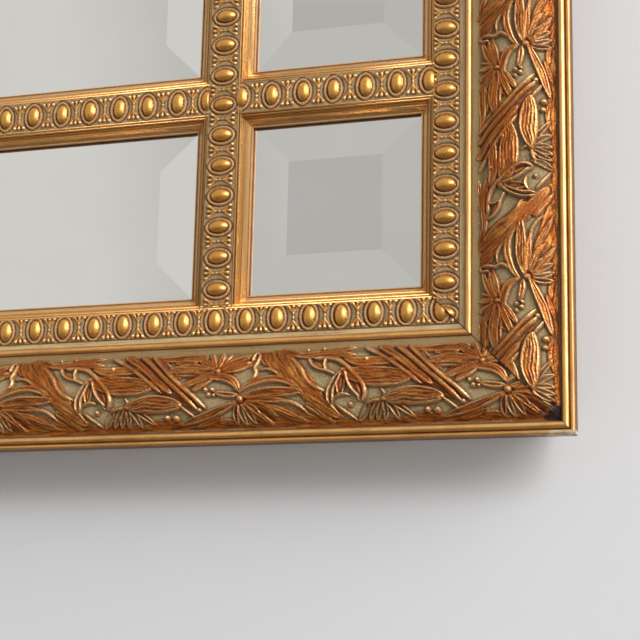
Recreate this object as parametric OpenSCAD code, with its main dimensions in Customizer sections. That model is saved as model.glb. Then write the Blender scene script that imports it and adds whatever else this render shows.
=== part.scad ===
// Beveled wall mirror: a carved and gilded frame round nine beveled panes in a grid of muntins.
// Seen from the front X runs to the right, Z up and Y into the wall; the wall is the plane y = 0
// and the origin is the middle of the mirror on that plane.

/* [Overall] */
// Width of the frame over its outer edges
frame_w = 762; // [600:1:1400]
// Height of the frame over its outer edges
frame_h = 1016; // [600:1:2000]
// Clear width and height of the small corner panes
corner_pane = 91.4; // [70:0.1:120]

/* [Outer moulding] */
// Depth of the moulding from its back to the crown of the outer bead
rail_h = 32; // [28:0.5:48]
// Height of the square part of the outer side
side_flat = 8; // [3:0.5:12]
// How far the side leans in at the back
side_cant = 12; // [0:0.5:16]
// Width of the fillet along the outer edge
fillet_w = 2.2; // [1.6:0.1:3.6]
// Drop of the fillet below the crown of the outer bead
fillet_drop = 0.8; // [0:0.1:1.4]
// Width of the groove between the fillet and the outer bead
groove_w = 0.6; // [0.4:0.1:2]
// Depth of that groove below the crown of the outer bead
groove_drop = 2.6; // [2.2:0.1:4]
// Diameter of the outer bead
bead_d = 3.2; // [2.4:0.1:4.4]
// Width of the quirk between the outer bead and the leaf ornament
quirk_w = 1; // [0.6:0.1:2.4]
// Width of the leaf ornament
leaf_w = 39; // [30:0.5:50]
// Rise of the ornament's crown above its own edges
leaf_rise = 6.5; // [4:0.5:9]
// Height of the ornament's edges above the flat that it is glued to
leaf_edge = 0.9; // [0.5:0.1:1.6]
// Thickness of the pressed ornament over the wood
leaf_t = 3; // [1.5:0.1:4]
// Thickness of the glue line under the ornament
glue_t = 0.1; // [0.05:0.05:0.3]
// Drop of the flats beside the ornament below the crown of the outer bead
flat_drop = 4.4; // [3.6:0.1:6]
// Width of the flat inside the ornament
flat_w = 4.4; // [3:0.1:8]
// Diameter of the inner bead
inner_bead_d = 3.2; // [2.4:0.1:4.4]
// How far the crown of the inner bead stands above the flat
inner_bead_rise = 1.8; // [1:0.1:2.2]
// Width of the cove between the inner bead and the liner
cove_w = 3.4; // [2.6:0.1:6]
// Depth of the cove below the flat
cove_drop = 2.1; // [1:0.1:2.4]
// Thickness of the lip that laps over the liner
lip_t = 5.5; // [4:0.1:7]
// How far the lip laps over the liner
lip_lap = 9; // [5:0.5:12]

/* [Liner and muntins] */
// Width of the egg band on the liner
band_w = 13; // [12.8:0.1:20]
// Width of the slope from the egg band down to the sight edge
slope_w = 8; // [6:0.1:9]
// Width of the muntins
muntin_w = 31.3; // [29:0.1:40]
// Length of the eggs across the band
egg_l = 12; // [8:0.1:12.4]
// Rise of the row of eggs above the band
egg_rise = 2.2; // [1:0.1:3]
// Height of the egg band above the sight edge's underside
sight_h = 6; // [4.6:0.1:8]
// Thickness of the sight edge
edge_t = 1.5; // [1:0.1:2.4]
// Width of the flat along the sight edge
edge_w = 0.8; // [0.5:0.1:1.6]
// Diameter of the thin bead at the top of the slope
line_d = 1.4; // [0.8:0.1:1.8]
// Width of the narrow flats beside that bead
line_gap = 0.3; // [0.2:0.1:0.6]
// Radius of the hollow in the slope
slope_r = 7; // [6.5:0.1:14]
// Gap between the liner and the outer moulding
liner_gap = 0.1; // [0.05:0.05:0.3]

/* [Glass] */
// Thickness of the glass
glass_t = 5; // [4:0.1:6]
// Width of the bevel
bevel_w = 25.4; // [12:0.1:30]
// Thickness of the glass at its beveled edge
bevel_edge_t = 1.8; // [1.2:0.1:2.6]
// How far the glass reaches under the sight edge
rebate = 5; // [3:0.1:6]
// Gap between the edge of the glass and the wood
glass_gap = 0.7; // [0.3:0.1:1.2]
// Gap between the face of the glass and the sight edge
face_gap = 0.1; // [0.05:0.05:0.3]

/* [Back] */
// Thickness of the guard sheet behind the silvering
sheet_t = 1; // [0.5:0.1:2]
// Thickness of the backing board
board_t = 3; // [2:0.1:5]
// Gap round the backing board
board_gap = 0.8; // [0.3:0.1:1.5]
// Length of a framer's point
point_l = 16; // [10:0.5:18]
// Width of a framer's point
point_w = 6; // [4:0.5:10]
// Thickness of a framer's point
point_t = 0.5; // [0.4:0.1:0.9]
// Largest distance between framer's points
point_pitch = 180; // [120:5:300]
// Length of each leg of a mitre nail
nail_leg = 7; // [4:0.5:9]
// Thickness of a mitre nail
nail_t = 0.6; // [0.4:0.1:1]
// Depth of a mitre nail
nail_h = 10; // [6:0.5:14]
// Clearance of points, nails and screws in the wood
drive_gap = 0.05; // [0.03:0.01:0.1]

/* [Hangers and bumpers] */
// Distance of the hangers and bumpers from the sides of the frame
hanger_in = 30; // [26:0.5:34]
// Distance of the hangers' hinges below the top of the frame
hanger_down = 254; // [120:1:300]
// Width of the hanger strap
strap_w = 16; // [12:0.5:20]
// Length of the hanger strap below the hinge
strap_l = 42; // [38:0.5:60]
// Thickness of the hanger strap
strap_t = 1.2; // [1:0.1:1.5]
// Diameter of the ring wire
wire_d = 2.8; // [2.2:0.1:3]
// Clearance between the ring wire and the curl of the strap
hinge_gap = 0.1; // [0.05:0.01:0.1]
// Gap between the curl and the arms of the ring
ring_side_gap = 2; // [0.5:0.1:4]
// Length of the ring's straight arms
ring_arm = 9; // [7:0.5:14]
// Least gap between the hanging ring and the strap
ring_lift = 0.4; // [0.3:0.05:0.5]
// Distance of the upper screw from the hinge
screw_upper = 11; // [9:0.5:13]
// Distance between the two screws of a hanger
screw_pitch = 19; // [17:0.5:22]
// Diameter of the screw shank
screw_d = 3.4; // [2.6:0.1:4]
// Diameter of the screw head
screw_head_d = 6.8; // [5.4:0.1:8]
// Length of the screw
screw_l = 16; // [12:0.5:20]
// Width of the slots of the cross recess in a screw head
recess_w = 0.8; // [0.5:0.1:1.2]
// Depth of the cross recess in a screw head
recess_h = 0.9; // [0.5:0.1:1.2]
// Diameter of the blunted tip of a screw
screw_tip_d = 0.6; // [0.3:0.1:1]
// Diameter of a rubber bumper
bumper_d = 12.7; // [10:0.1:16]
// Height of a rubber bumper, which is the gap between the frame and the wall
bumper_h = 6.4; // [6.2:0.1:10]
// Width of the chamfer round a bumper's face
bumper_chamfer = 1.4; // [0.6:0.1:2]
// Distance of the bumpers from the top and bottom of the frame
bumper_end = 60; // [50:1:100]

/* [Hidden] */

$fn = 64;
far = 200; // longer than any piece is deep
past = 1; // how far a cutter runs past the face that it cuts
sink = 0.05; // how far a swell reaches into the wood that it stands on
gold = "#b8843c";
leaf_gold = "#8f5f34";
silvering = "#c4c2bc";
steel = "#b9bcc0";

// Sides are numbered 0 bottom, 1 right, 2 top, 3 left, going round as the ornament does.
function side_len(i) = i % 2 == 0 ? frame_w : frame_h;
function side_dist(i) = i % 2 == 0 ? frame_h / 2 : frame_w / 2;

// Distances from the outer edge across the face
bead_v = fillet_w + groove_w + bead_d / 2;
leaf_v = fillet_w + groove_w + bead_d + quirk_w;
leaf_end_v = leaf_v + leaf_w;
inner_bead_v = leaf_end_v + flat_w + inner_bead_d / 2;
lip_v = leaf_end_v + flat_w + inner_bead_d + cove_w;
sight_v = lip_v + band_w + slope_w;
flange_v = lip_v - lip_lap;
rebate_v = sight_v - rebate - glass_gap;

// Heights above the back of the wood
flat_d = rail_h - flat_drop;
band_d = flat_d - cove_drop;
lip_d = band_d - lip_t;
sight_d = band_d - sight_h;
bevel_slope = (glass_t - bevel_edge_t) / bevel_w;
glass_d = sight_d - face_gap - bevel_edge_t - bevel_slope * rebate;
board_d = glass_d - sheet_t - board_t;

// The leaf ornament's crown is an arc with this radius and centre
leaf_r = (pow(leaf_w / 2, 2) + pow(leaf_rise, 2)) / (2 * leaf_rise);
leaf_centre = [leaf_v + leaf_w / 2, flat_d + leaf_edge + leaf_rise - leaf_r];

// Clear sizes between the sight edges
open_w = frame_w - 2 * sight_v;
open_h = frame_h - 2 * sight_v;
centre_w = open_w - 2 * (corner_pane + muntin_w);
centre_h = open_h - 2 * (corner_pane + muntin_w);
muntin_x = (centre_w + muntin_w) / 2;
muntin_z = (centre_h + muntin_w) / 2;
pane_x = (centre_w + corner_pane) / 2 + muntin_w;
pane_z = (centre_h + corner_pane) / 2 + muntin_w;

wood_y = -bumper_h;
hanger_x = frame_w / 2 - hanger_in;
hanger_z = frame_h / 2 - hanger_down;
wire_r = wire_d / 2;
curl_bore_r = wire_r + hinge_gap;
curl_r = curl_bore_r + strap_t;
hinge_h = strap_t + ring_lift + wire_r;
ring_x = strap_w / 2 + ring_side_gap + wire_r;

// Centre of the circle of radius r through a and b, on the right of the way from a to b
function arc_centre(a, b, r) =
    let (m = (a + b) / 2, c = b - a, h = norm(c) / 2)
    m + [c[1], -c[0]] / (2 * h) * sqrt(r * r - h * h);

// Turns a bar that was built along Z to run along X: its x goes up and its y towards the viewer.
module run() {
    rotate([180, -90, 0]) children();
}

// A straight length of any outline, centred on its middle
module bar(len) {
    linear_extrude(len, center = true) children();
}

// Raises a front-view outline from height low above the back of the wood to height high.
module slab(low, high) {
    translate([0, wood_y - low, 0]) rotate([90, 0, 0]) linear_extrude(high - low) children();
}

// One mitred side: the bar in children runs along side i, and 45 degree planes cut its ends.
module mitred_side(i) {
    len = side_len(i);
    dist = side_dist(i);
    reach = sight_v + past;
    rotate([0, -90 * i, 0]) intersection() {
        translate([0, wood_y, -dist]) run() children();
        slab(-past, far)
            polygon([[-len / 2, -dist], [len / 2, -dist],
                [len / 2 - reach, reach - dist], [reach - len / 2, reach - dist]]);
    }
}

// The wood of the outer moulding, from the side face to the lip over the liner
module rail_bar(len) {
    difference() {
        union() {
            bar(len) polygon([[side_cant, 0], [0, rail_h - fillet_drop - side_flat],
                [0, rail_h - fillet_drop - fillet_w / 2],
                [fillet_w, rail_h - fillet_drop - fillet_w / 2], [fillet_w, rail_h - groove_drop],
                [fillet_w + groove_w, rail_h - groove_drop],
                [fillet_w + groove_w, rail_h - bead_d / 2],
                [leaf_v - quirk_w, rail_h - bead_d / 2], [leaf_v - quirk_w, flat_d],
                [lip_v, flat_d], [lip_v, lip_d], [flange_v, lip_d], [flange_v, 0]]);
            bar(len) translate([fillet_w / 2, rail_h - fillet_drop - fillet_w / 2])
                circle(d = fillet_w);
            bar(len) translate([bead_v, rail_h - bead_d / 2]) circle(d = bead_d);
            bar(len) translate([inner_bead_v, flat_d + inner_bead_rise - inner_bead_d / 2])
                circle(d = inner_bead_d);
            bar(len) intersection() {
                translate(leaf_centre) circle(r = leaf_r - leaf_t - glue_t, $fn = 180);
                translate([leaf_v, flat_d - leaf_t]) square([leaf_w, far]);
            }
        }
        bar(len + 2 * past) translate([lip_v, band_d + cove_w]) circle(r = cove_w);
    }
}

// The ornament pressed over the rounded wood
module leaf_bar(len) {
    bar(len) intersection() {
        difference() {
            translate(leaf_centre) circle(r = leaf_r, $fn = 180);
            translate(leaf_centre) circle(r = leaf_r - leaf_t, $fn = 180);
        }
        translate([leaf_v + glue_t, flat_d]) square([leaf_w - 2 * glue_t, far]);
    }
}

// The slope runs from its foot by the sight edge, which is at x = 0, up to its head by the band.
slope_foot = [edge_w, sight_d + edge_t];
slope_head = [slope_w - line_d - 2 * line_gap, band_d];

// What hollows the slope
module slope_hollow(len) {
    bar(len + 2 * past) intersection() {
        translate(arc_centre(slope_head, slope_foot, slope_r)) circle(r = slope_r, $fn = 120);
        polygon([slope_foot, slope_head, slope_foot + [0, band_d]]);
    }
}

// The thin bead at the top of the slope
module slope_bead(len) {
    bar(len) translate([slope_w - line_gap - line_d / 2, band_d]) circle(d = line_d);
}

// The row of eggs as one low swell on the band
module egg_bar(len) {
    r = (pow(egg_l / 2, 2) + pow(egg_rise, 2)) / (2 * egg_rise);
    bar(len) intersection() {
        translate([0, egg_rise - r]) circle(r = r, $fn = 120);
        translate([-egg_l, -sink]) square([2 * egg_l, far]);
    }
}

module liner_bar(len) {
    f = flange_v + liner_gap;
    g = lip_v + liner_gap;
    difference() {
        bar(len) polygon([[f, 0], [f, lip_d - liner_gap], [g, lip_d - liner_gap], [g, band_d],
            [sight_v - slope_head[0], band_d], [sight_v - slope_foot[0], slope_foot[1]],
            [sight_v, slope_foot[1]], [sight_v, sight_d], [rebate_v, sight_d], [rebate_v, 0]]);
        translate([sight_v, 0, 0]) mirror([1, 0, 0]) slope_hollow(len);
    }
    translate([sight_v, 0, 0]) mirror([1, 0, 0]) slope_bead(len);
    translate([lip_v + band_w / 2, band_d, 0]) egg_bar(len);
}

// A muntin has the same slope on both sides, and a rib behind that parts the panes.
module muntin_profile(len) {
    w = muntin_w / 2;
    rib = w - rebate - glass_gap;
    foot = w - slope_foot[0];
    head = w - slope_head[0];
    difference() {
        bar(len) polygon([[-rib, glass_d], [-rib, sight_d], [-w, sight_d], [-w, slope_foot[1]],
            [-foot, slope_foot[1]], [-head, band_d], [head, band_d], [foot, slope_foot[1]],
            [w, slope_foot[1]], [w, sight_d], [rib, sight_d], [rib, glass_d]]);
        for (side = [0, 1]) mirror([side, 0, 0]) translate([-w, 0, 0]) slope_hollow(len);
    }
    for (side = [0, 1]) mirror([side, 0, 0]) translate([-w, 0, 0]) slope_bead(len);
    translate([0, band_d, 0]) egg_bar(len);
}

// Front view of a bar between two sight edges: its mitred ends reach over the slopes there.
module bar_outline(len) {
    w = muntin_w / 2;
    e = len / 2;
    s = slope_w;
    polygon([[-e, -w], [e, -w], [e + s, s - w], [e + s, w - s],
        [e, w], [-e, w], [-e - s, w - s], [-e - s, s - w]]);
}

// One length of muntin along X, centred on the origin
module muntin_bar(len) {
    intersection() {
        translate([0, wood_y, 0]) run() muntin_profile(len + 2 * slope_w);
        slab(glass_d - past, far) bar_outline(len);
    }
}

// The places that the three bars of the row at height z take in what they meet
module row_cutters(z) {
    for (bar = [[0, centre_w], [-pane_x, corner_pane], [pane_x, corner_pane]])
        translate([bar[0], 0, z]) slab(glass_d, far) bar_outline(bar[1]);
}

module column_cutters() {
    for (x = [-muntin_x, muntin_x])
        translate([x, 0, 0]) rotate([0, 90, 0]) slab(glass_d, far) bar_outline(open_h);
}

module rail(i) {
    color(gold) difference() {
        mitred_side(i) rail_bar(side_len(i));
        mitre_nail_set(drive_gap);
        if (i % 2 == 1) screw_set(drive_gap);
    }
}

module leaf_band(i) {
    color(leaf_gold) mitred_side(i) leaf_bar(side_len(i));
}

module liner(i) {
    color(gold) difference() {
        mitred_side(i) liner_bar(side_len(i));
        if (i % 2 == 0) column_cutters();
        if (i % 2 == 1) for (z = [-muntin_z, muntin_z]) row_cutters(z);
        mitre_nail_set(drive_gap);
        point_row(i, drive_gap);
    }
}

module upright_muntin(x) {
    color(gold) difference() {
        translate([x, 0, 0]) rotate([0, 90, 0]) muntin_bar(open_h);
        for (z = [-muntin_z, muntin_z]) row_cutters(z);
    }
}

module cross_muntin(x, z, len) {
    color(gold) translate([x, 0, z]) muntin_bar(len);
}

// Section of a pane across its width or height, with the bevels on the front
module pane_section(a) {
    polygon([[-a / 2, 0], [a / 2, 0], [a / 2, bevel_edge_t], [a / 2 - bevel_w, glass_t],
        [bevel_w - a / 2, glass_t], [-a / 2, bevel_edge_t]]);
}

// A pane with clear size w by h, its middle at x and z
module pane(x, z, w, h) {
    a = w + 2 * rebate;
    b = h + 2 * rebate;
    color(silvering) translate([x, wood_y - glass_d, z]) intersection() {
        run() bar(a) pane_section(b);
        rotate([0, 90, 0]) run() bar(b) pane_section(a);
    }
}

// A sheet that fills the recess behind the panes, with a gap all round
module recess_sheet(low, t, gap) {
    w = open_w + 2 * (rebate + glass_gap - gap);
    h = open_h + 2 * (rebate + glass_gap - gap);
    slab(low, low + t) square([w, h], center = true);
}

module guard_sheet() {
    color("#d9d4c8") recess_sheet(glass_d - sheet_t, sheet_t, board_gap);
}

module backing_board() {
    color("#8a6a48") recess_sheet(board_d, board_t, board_gap);
}

// The points along one side, half of each driven into the liner
module point_row(i, gap) {
    len = side_len(i) - 2 * rebate_v;
    count = ceil(len / point_pitch);
    for (k = [0 : count - 1])
        rotate([0, -90 * i, 0])
            translate([(k + 0.5) * len / count - len / 2, 0, rebate_v - side_dist(i)])
            slab(board_d - point_t - gap, board_d + gap)
                square([point_w + 2 * gap, point_l + 2 * gap], center = true);
}

module framer_points() {
    color(steel) for (i = [0 : 3]) point_row(i, 0);
}

// Mitre nails: an angle of sheet steel pressed into the back across each corner joint
module mitre_nail(gap) {
    t = nail_t / 2 + gap;
    slab(-gap, nail_h + gap)
        polygon([[t, -t], [t, nail_leg + gap], [-t, nail_leg + gap], [-t, t],
            [-nail_leg - gap, t], [-nail_leg - gap, -t]]);
}

module mitre_nail_set(gap) {
    in_rail = (side_cant + flange_v) / 2;
    spread = (flange_v - side_cant) / 4;
    in_liner = (flange_v + rebate_v) / 2;
    for (sx = [0, 1], sz = [0, 1], v = [in_rail - spread, in_rail + spread, in_liner])
        mirror([sx, 0, 0]) mirror([0, 0, sz])
            translate([frame_w / 2 - v, 0, v - frame_h / 2]) mitre_nail(gap);
}

module mitre_nails() {
    color(steel) mitre_nail_set(0);
}

// A screw along Y with its head's face at y = 0
module screw(gap, recess) {
    head_h = (screw_head_d - screw_d) / 2;
    tip_h = screw_d;
    rotate([90, 0, 0]) difference() {
        union() {
            cylinder(h = head_h + gap, d1 = screw_head_d + 2 * gap, d2 = screw_d + 2 * gap);
            cylinder(h = screw_l - tip_h, d = screw_d + 2 * gap);
            translate([0, 0, screw_l - tip_h])
                cylinder(h = tip_h + gap, d1 = screw_d + 2 * gap, d2 = screw_tip_d);
        }
        if (recess) for (turn = [45, 135]) rotate([0, 0, turn])
            translate([-screw_d / 2, -recess_w / 2, -past]) cube([screw_d, recess_w, past + recess_h]);
    }
}

module screw_set(gap, recess = false) {
    for (sx = [-1, 1], drop = [screw_upper, screw_upper + screw_pitch])
        translate([sx * hanger_x, wood_y + strap_t, hanger_z - drop]) screw(gap, recess);
}

module hanger_screws() {
    color(steel) screw_set(0, true);
}

// The strap hanger: a plate on the wood, curled round the straight bar of the ring
module hanger_plate(sx) {
    color(steel) difference() {
        translate([sx * hanger_x, wood_y, hanger_z]) difference() {
            union() {
                translate([-strap_w / 2, 0, strap_w / 2 - strap_l])
                    cube([strap_w, strap_t, strap_l - strap_w / 2]);
                translate([0, strap_t, strap_w / 2 - strap_l])
                    rotate([90, 0, 0]) cylinder(h = strap_t, d = strap_w);
                translate([0, hinge_h, 0])
                    rotate([0, 90, 0]) cylinder(h = strap_w, r = curl_r, center = true);
            }
            translate([0, hinge_h, 0])
                rotate([0, 90, 0]) cylinder(h = strap_w + 2 * past, r = curl_bore_r, center = true);
        }
        screw_set(drive_gap);
    }
}

// The ring hangs down over its strap: a straight bar, two arms and a half round.
module hanger_ring(sx) {
    color(steel) translate([sx * hanger_x, wood_y + hinge_h, hanger_z]) {
        rotate([0, 90, 0]) cylinder(h = 2 * ring_x, r = wire_r, center = true);
        for (side = [-1, 1]) translate([side * ring_x, 0, 0]) {
            sphere(r = wire_r);
            translate([0, 0, -ring_arm]) cylinder(h = ring_arm, r = wire_r);
        }
        translate([0, 0, -ring_arm]) rotate([-90, 0, 0])
            rotate_extrude(angle = 180) translate([ring_x, 0]) circle(r = wire_r);
    }
}

module wall_bumpers() {
    color("#3a3836") for (sx = [-1, 1], sz = [-1, 1])
        translate([sx * hanger_x, wood_y, sz * (frame_h / 2 - bumper_end)]) rotate([-90, 0, 0]) {
            cylinder(h = bumper_h - bumper_chamfer, d = bumper_d);
            translate([0, 0, bumper_h - bumper_chamfer])
                cylinder(h = bumper_chamfer, d1 = bumper_d, d2 = bumper_d - 2 * bumper_chamfer);
        }
}

rail(2);  // rail_top
rail(0);  // rail_bottom
rail(3);  // rail_left
rail(1);  // rail_right
leaf_band(2);  // leaf_band_top
leaf_band(0);  // leaf_band_bottom
leaf_band(3);  // leaf_band_left
leaf_band(1);  // leaf_band_right
liner(2);  // liner_top
liner(0);  // liner_bottom
liner(3);  // liner_left
liner(1);  // liner_right
upright_muntin(-muntin_x);  // muntin_left
upright_muntin(muntin_x);  // muntin_right
cross_muntin(-pane_x, muntin_z, corner_pane);  // muntin_upper_left
cross_muntin(0, muntin_z, centre_w);  // muntin_upper_middle
cross_muntin(pane_x, muntin_z, corner_pane);  // muntin_upper_right
cross_muntin(-pane_x, -muntin_z, corner_pane);  // muntin_lower_left
cross_muntin(0, -muntin_z, centre_w);  // muntin_lower_middle
cross_muntin(pane_x, -muntin_z, corner_pane);  // muntin_lower_right
pane(-pane_x, pane_z, corner_pane, corner_pane);  // pane_top_left
pane(0, pane_z, centre_w, corner_pane);  // pane_top
pane(pane_x, pane_z, corner_pane, corner_pane);  // pane_top_right
pane(-pane_x, 0, corner_pane, centre_h);  // pane_left
pane(0, 0, centre_w, centre_h);  // pane_centre
pane(pane_x, 0, corner_pane, centre_h);  // pane_right
pane(-pane_x, -pane_z, corner_pane, corner_pane);  // pane_bottom_left
pane(0, -pane_z, centre_w, corner_pane);  // pane_bottom
pane(pane_x, -pane_z, corner_pane, corner_pane);  // pane_bottom_right
guard_sheet();
backing_board();
framer_points();
mitre_nails();
hanger_plate(-1);  // hanger_plate_left
hanger_plate(1);  // hanger_plate_right
hanger_ring(-1);  // hanger_ring_left
hanger_ring(1);  // hanger_ring_right
hanger_screws();
wall_bumpers();
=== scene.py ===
"""Looks for a beveled wall mirror: a carved and gilded frame round nine beveled panes.

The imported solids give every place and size. This script carves the leaf ornament and the egg and dart
mouldings over them, and gives each piece a finish. Lengths are metres in the row frame: X to the right
and Z up as seen from the front, which faces -Y, with the wall at y = 0.
"""
import math

import bpy
import numpy as np
from bpy.props import FloatProperty, FloatVectorProperty, PointerProperty
from mathutils import Matrix, Vector


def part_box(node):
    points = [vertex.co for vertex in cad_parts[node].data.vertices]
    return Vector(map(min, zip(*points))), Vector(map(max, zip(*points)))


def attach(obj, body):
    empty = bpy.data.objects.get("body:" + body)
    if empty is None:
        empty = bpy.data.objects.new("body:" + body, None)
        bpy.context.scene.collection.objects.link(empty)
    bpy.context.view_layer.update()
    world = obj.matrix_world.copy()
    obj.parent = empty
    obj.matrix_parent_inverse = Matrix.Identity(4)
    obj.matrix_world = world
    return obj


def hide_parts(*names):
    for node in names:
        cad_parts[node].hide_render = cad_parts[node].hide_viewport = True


bl_info = {
    "name": "Beveled Mirror",
    "version": (1, 0, 0),
    "blender": (4, 5, 0),
    "location": "3D View > Sidebar > Mirror",
    "description": "Carves and finishes a gilded frame round nine beveled panes",
    "category": "Object",
}

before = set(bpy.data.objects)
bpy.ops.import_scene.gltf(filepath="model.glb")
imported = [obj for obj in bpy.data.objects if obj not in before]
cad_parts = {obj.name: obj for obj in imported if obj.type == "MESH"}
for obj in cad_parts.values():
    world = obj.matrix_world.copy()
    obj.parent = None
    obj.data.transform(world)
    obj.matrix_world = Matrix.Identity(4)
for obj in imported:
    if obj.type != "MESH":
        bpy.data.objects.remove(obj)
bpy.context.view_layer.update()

MM = 0.001
SIDES = ("bottom", "right", "top", "left")  # in the order in which the ornament runs round

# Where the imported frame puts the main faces
RAIL_LOW, RAIL_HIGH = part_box("rail_bottom")
LEAF_LOW, LEAF_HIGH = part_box("leaf_band_bottom")
LINER_LOW, LINER_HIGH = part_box("liner_bottom")
MUNTIN_LOW, MUNTIN_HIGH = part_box("muntin_right")
HALF_W, HALF_H = RAIL_HIGH.x, -RAIL_LOW.z
BACK_Y = RAIL_HIGH.y


def linear(code):
    """A linear RGB colour from an sRGB hex value."""
    parts = [int(code[i : i + 2], 16) / 255 for i in (1, 3, 5)]
    return tuple(p / 12.92 if p <= 0.04045 else ((p + 0.055) / 1.055) ** 2.4 for p in parts)


def number(name, description, default, **more):
    """A setting that is never negative."""
    return FloatProperty(name=name, description=description, default=default, min=0, **more)


def length(name, description, default):
    """A length in metres."""
    return number(name, description, default, unit="LENGTH", precision=5)


def colour(name, description, code):
    """A colour whose default is an sRGB hex value."""
    return FloatVectorProperty(
        name=name, description=description, default=linear(code), size=3, min=0, max=1, subtype="COLOR"
    )


class LeafSettings(bpy.types.PropertyGroup):
    """The pressed leaf ornament on the outer moulding"""

    grid: length("Grid", "Distance between the points of the carved surface", 0.5 * MM)
    rise: length("Rise of the crown", "Height of the crown's arc above its edges", 6.5 * MM)
    thickness: length("Thickness", "Thickness of the pressed ornament", 3 * MM)
    relief: number("Relief", "Scale of the carving's depth", 1.4, max=1.45)
    repeat_across: length("Repeat across", "Length of the motif on top and bottom", 136 * MM)
    repeat_up: length("Repeat up", "Length of the motif on left and right", 120 * MM)


class EggSettings(bpy.types.PropertyGroup):
    """The egg and dart mouldings of the liner and the muntins"""

    grid: length("Grid", "Distance between the points of the carved surface", 0.55 * MM)
    pitch_across: length("Pitch across", "Distance from egg to egg on top and bottom", 17 * MM)
    pitch_up: length("Pitch up", "Distance from egg to egg on left and right", 16.75 * MM)
    band_depth: length("Band depth", "Height of the egg band above the back of the wood", 26.3 * MM)
    slope: length("Slope width", "Width of the slope from the egg band to the sight edge", 7.4 * MM)
    sight_depth: length("Sight depth", "Height of the sight edge's underside above the back", 19.5 * MM)
    edge_t: length("Edge thickness", "Thickness of the sight edge", 2.3 * MM)
    edge_w: length("Edge width", "Width of the flat along the sight edge", 0.8 * MM)
    line_d: length("Bead diameter", "Diameter of the two thin beads at the top of the slope", 1 * MM)


class FinishSettings(bpy.types.PropertyGroup):
    """Colours of the finishes"""

    leaf: colour("Leaf gold", "Bronze gold of the ornament", "#ad611b")
    # pale gold on the crests: worn gold and a painted highlight
    rubbed: colour("Rubbed gold", "Gold on the rubbed crests", "#efc48c")
    # the bole colour also paints shade into the hollows
    bole: colour("Bole", "Dark red brown in the hollows", "#521f07")
    wash: colour("Wash", "Sage grey wash on the ground", "#a8926a")
    bead: colour("Bead gold", "Brighter gold of the beads", "#d69a3c")
    glass: colour("Silvering", "Reflected tint of the mirror", "#dfdedb")


class StageSettings(bpy.types.PropertyGroup):
    """Wall, floor, lamps and camera"""

    wall: colour("Wall", "Colour of the wall behind", "#dadce0")
    floor: colour("Floor", "Colour of the floor", "#bdbab5")
    key: number("Key lamp", "Power of the key lamp in watts", 22)
    window: number("Window", "Power of the low lamp on the right in watts", 15)
    ambient: number("Ambient", "Strength of the world's light", 0.3)
    lens: number("Lens", "Focal length of the camera", 95.34, unit="CAMERA")


def blur(height, sigma, step):
    """A Gaussian blur of a height grid that repeats along its first axis, by the Fourier transform."""
    pad = int(3 * sigma / step) + 1
    wide = np.pad(height, ((0, 0), (pad, pad)), mode="edge")
    along = np.fft.fftfreq(wide.shape[0], step)[:, None]
    across = np.fft.fftfreq(wide.shape[1], step)[None]
    kept = np.exp(-2 * (np.pi * sigma) ** 2 * (along**2 + across**2))
    smooth = np.fft.ifft2(np.fft.fft2(wide) * kept).real
    return smooth[:, pad:-pad]


def sample(grid, step, along, across):
    """Bilinear samples of a grid that repeats along its first axis."""
    a = along / step % grid.shape[0]
    b = np.clip(across / step, 0, grid.shape[1] - 1.001)
    i, j = a.astype(int) % grid.shape[0], b.astype(int)
    fa, fb = a - np.floor(a), b - j
    k = (i + 1) % grid.shape[0]
    near = grid[i, j] * (1 - fa) + grid[k, j] * fa
    far = grid[i, j + 1] * (1 - fa) + grid[k, j + 1] * fa
    return near * (1 - fb) + far * fb


# The leaf motif in millimetres: along the rail, and in from the outer edge of the frame
MOTIF = 136.0
BAND_FROM, BAND_TO = 7.0, 46.0
LEAF_TO = 49.0  # the leaves lap over the flat inside the band up to here
TILE_STEP = 0.2
GROUND = -1.6
STAR_AT = 168.0  # the star, at 0 along the motif, stands this far before the corner on the short sides
SMALL_STAR = 74.5  # the small star's place along the motif
SMALL_STAR_AT = 22.0  # it stands this far past the corner on the long sides
# Forms: pointed at both ends, even width, tapering to the far end, a pointed cup, and a pointed petal
# that is open to the ground
LENS, RIBBON, HORN, CUP, PETAL = range(5)
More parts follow.
